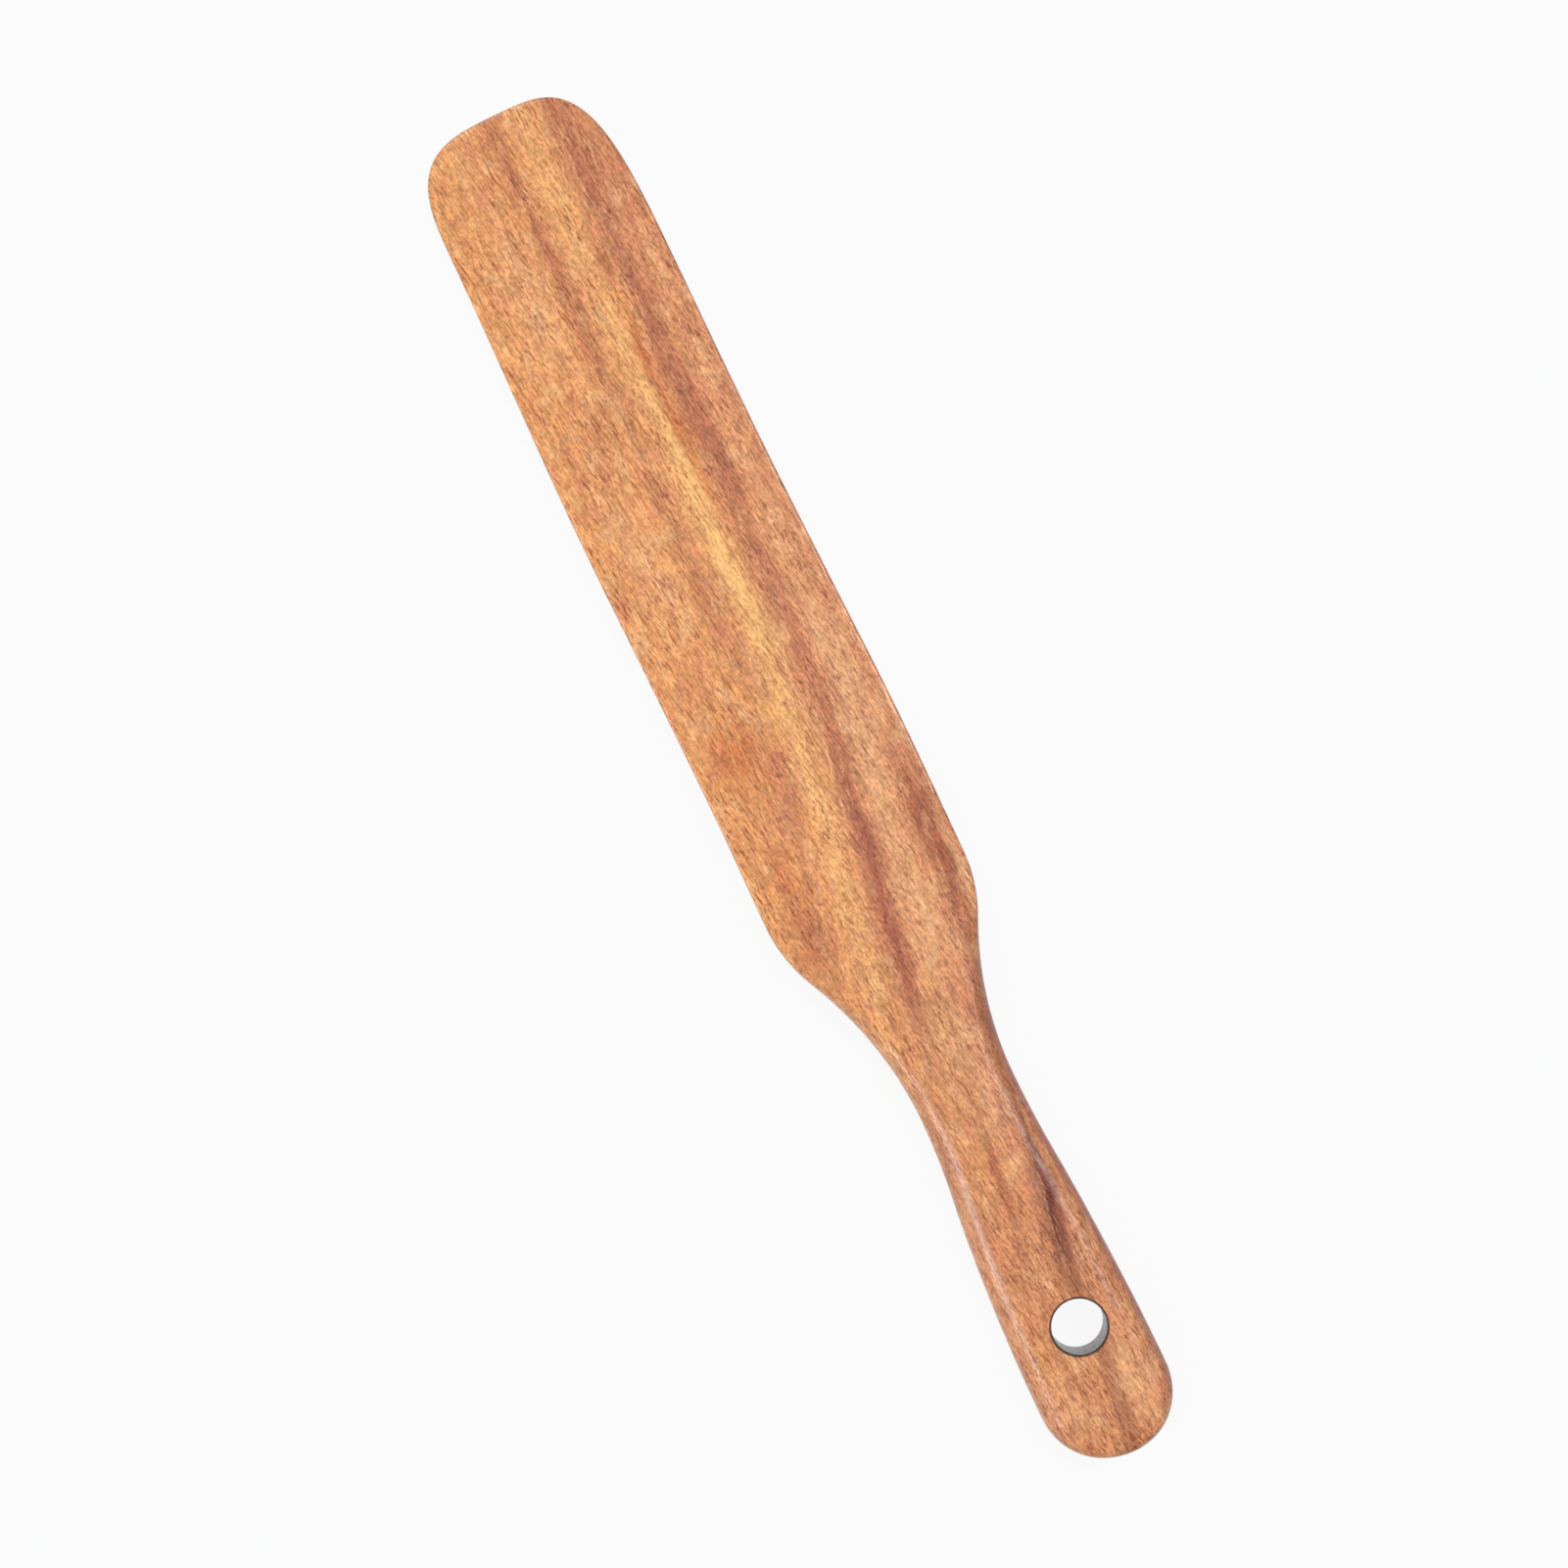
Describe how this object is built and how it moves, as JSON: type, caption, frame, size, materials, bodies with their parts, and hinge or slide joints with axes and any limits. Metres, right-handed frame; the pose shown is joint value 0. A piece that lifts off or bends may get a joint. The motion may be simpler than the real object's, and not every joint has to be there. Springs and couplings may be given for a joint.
{
  "type": "wooden spatula",
  "caption": "Flat one-piece wooden spatula: long blade with a squared, round-cornered tip, narrow neck, and a rounded handle with a hang hole.",
  "frame": {"origin": "middle of the outline's box in plan, on the flat back face", "axes": "+X along the board towards the blade's tip, +Z out of the front face, +Y across the board"},
  "size_m": [0.32, 0.0462, 0.012],
  "materials": {
    "oiled_wood": "oiled, semi-gloss"
  },
  "bodies": {
    "root": {"spatula": "oiled_wood"}
  },
  "joints": []
}
